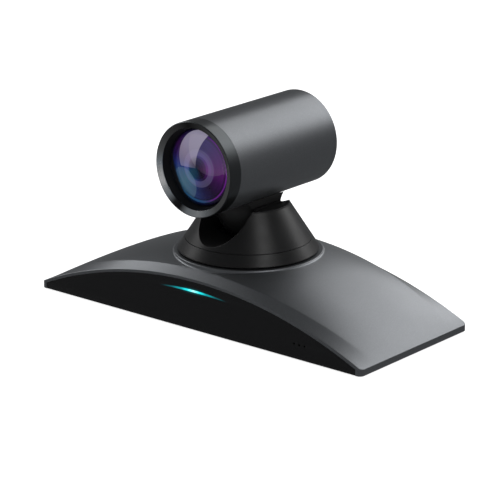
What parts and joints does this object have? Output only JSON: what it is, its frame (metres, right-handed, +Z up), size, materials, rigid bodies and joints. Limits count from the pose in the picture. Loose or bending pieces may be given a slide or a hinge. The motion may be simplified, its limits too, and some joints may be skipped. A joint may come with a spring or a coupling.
{
  "type": "ptz camera",
  "caption": "Conference PTZ camera: a cylindrical camera head tilts in a U channel of a conical turret, which pans on a long arched base with a light bar and a rear port panel.",
  "frame": {"origin": "on the resting surface (underside of the feet), under the middle of the base", "axes": "+X to the right seen from the front along the base's length, +Y from front to rear (the lens and light bar face -Y), +Z up"},
  "size_m": [0.4, 0.166, 0.2049],
  "materials": {
    "grey_paint": "satin metallic dark grey paint with fine flake",
    "gloss_black": "high-gloss black",
    "satin_black": "satin moulded black",
    "dark_chrome": "dark anodised and turned, bright bevel",
    "lens_glass": "coated optical glass, violet and cyan reflections",
    "light_guide": "cyan light guide, lit",
    "rubber": "matte rubber",
    "steel": "bright steel",
    "zinc": "zinc-plated steel sheet",
    "board": "printed circuit board",
    "alloy": "machined alloy",
    "nylon": "natural moulded nylon",
    "brass": "turned brass",
    "black_plastic": "moulded black plastic"
  },
  "bodies": {
    "base": {"base_cover": "grey_paint", "front_panel": "gloss_black", "status_light_guide": "light_guide", "led_board": "board", "microphone_board": "board", "base_plate": "zinc", "foot_front_left": "rubber", "foot_front_right": "rubber", "foot_rear_left": "rubber", "foot_rear_right": "rubber", "plate_screw_front_left": "steel", "plate_screw_front_right": "steel", "plate_screw_rear_left": "steel", "plate_screw_rear_right": "steel", "rear_panel": "satin_black", "main_board": "board", "heat_sink": "alloy", "power_inlet": "black_plastic", "ethernet_socket": "steel", "usb_socket_left": "steel", "usb_socket_right": "steel", "hdmi_socket_left": "steel", "hdmi_socket_right": "steel", "microphone_jack": "black_plastic", "pan_frame": "zinc", "pan_motor": "steel", "pan_spindle": "steel", "pan_bearing": "brass"},
    "power_button": {"power_button": "satin_black"},
    "pan_pinion": {"pan_pinion": "brass"},
    "turret": {"turret_hub": "alloy", "turret_platform": "zinc", "pan_gear": "nylon", "turret_skirt": "satin_black", "turret_shell": "satin_black", "tilt_bracket_left": "zinc", "tilt_bracket_right": "zinc", "tilt_bearing_left": "brass", "tilt_bearing_right": "brass", "tilt_motor": "steel"},
    "tilt_pinion": {"tilt_pinion": "brass"},
    "head": {"neck": "satin_black", "trunnion_left": "steel", "trunnion_right": "steel", "tilt_gear": "nylon", "head_chassis": "zinc", "barrel_housing": "grey_paint", "rear_cap": "satin_black", "front_bezel": "dark_chrome", "lens_shroud": "satin_black", "lens_window": "lens_glass", "lens_tube": "satin_black", "lens_element_front": "lens_glass", "camera_block": "black_plastic", "image_sensor_board": "board", "head_board": "board"},
    "zoom_group": {"zoom_carriage": "black_plastic", "zoom_lens": "lens_glass"},
    "focus_group": {"focus_carriage": "black_plastic", "focus_lens": "lens_glass"}
  },
  "joints": [
    {"name": "pan", "type": "hinge", "parent": "base", "child": "turret", "pos_m": [0, -0.00112, 0.0641], "axis": [0, 0, 1], "range_deg": [-170, 170]},
    {"name": "pan_pinion_spin", "type": "hinge", "parent": "base", "child": "pan_pinion", "pos_m": [-0.042, -0.00112, 0.045], "axis": [0, 0, 1], "range_deg": [-1021, 1021]},
    {"name": "tilt", "type": "hinge", "parent": "turret", "child": "head", "pos_m": [0, -0.00112, 0.105], "axis": [1, 0, 0], "range_deg": [-25, 25]},
    {"name": "tilt_pinion_spin", "type": "hinge", "parent": "turret", "child": "tilt_pinion", "pos_m": [0.033, -0.00112, 0.0765], "axis": [1, 0, 0], "range_deg": [-134, 134]},
    {"name": "zoom", "type": "slide", "parent": "head", "child": "zoom_group", "axis": [0, 1, 0], "range_m": [-0.008, 0.022]},
    {"name": "focus", "type": "slide", "parent": "head", "child": "focus_group", "axis": [0, 1, 0], "range_m": [-0.004, 0.014]},
    {"name": "power_button_press", "type": "slide", "parent": "base", "child": "power_button", "axis": [0, -1, 0], "range_m": [0, 0.0015], "stiffness_N_per_m": 100, "springref_m": -0.002}
  ],
  "couplings": [
    {"joint": "pan_pinion_spin", "follows": "pan", "ratio": -6},
    {"joint": "tilt_pinion_spin", "follows": "tilt", "ratio": -5.3333}
  ]
}
